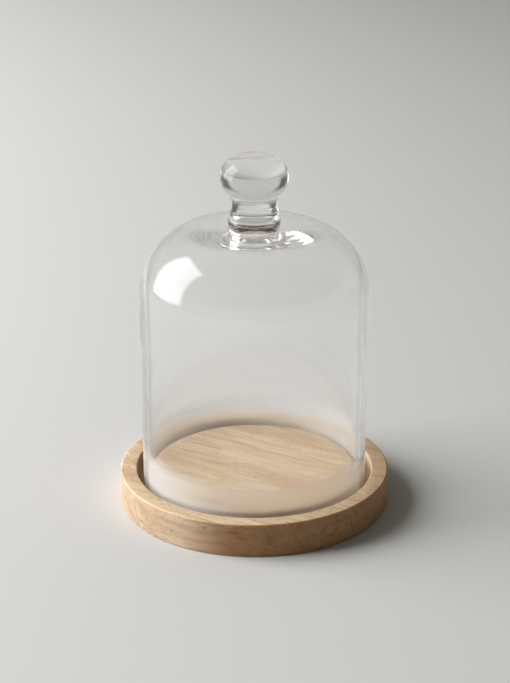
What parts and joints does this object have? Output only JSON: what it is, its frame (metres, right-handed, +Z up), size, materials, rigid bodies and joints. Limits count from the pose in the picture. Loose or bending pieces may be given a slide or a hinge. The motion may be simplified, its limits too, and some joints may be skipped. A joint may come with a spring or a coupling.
{
  "type": "bell jar dome",
  "caption": "Clear glass bell jar with a solid ball knob, standing in the groove of a round turned wooden base.",
  "frame": {"origin": "centre of the underside, on the surface the object stands on", "axes": "+Z up along the turning axis of base, dome and knob; X and Y are free, and the wood's grain runs roughly along X"},
  "size_m": [0.14, 0.14, 0.1871],
  "materials": {
    "wood": "pale straight-grained hardwood, sanded and matt oiled",
    "felt": "thin pressed felt",
    "glass": "clear polished blown glass, slightly milky in its lowest band"
  },
  "bodies": {
    "base": {"wooden_base": "wood", "base_felt": "felt"},
    "dome": {"glass_dome": "glass", "glass_knob": "glass"}
  },
  "joints": [
    {"name": "dome_lift", "type": "slide", "parent": "base", "child": "dome", "axis": [0, 0, 1], "range_m": [0, 0.15]}
  ]
}
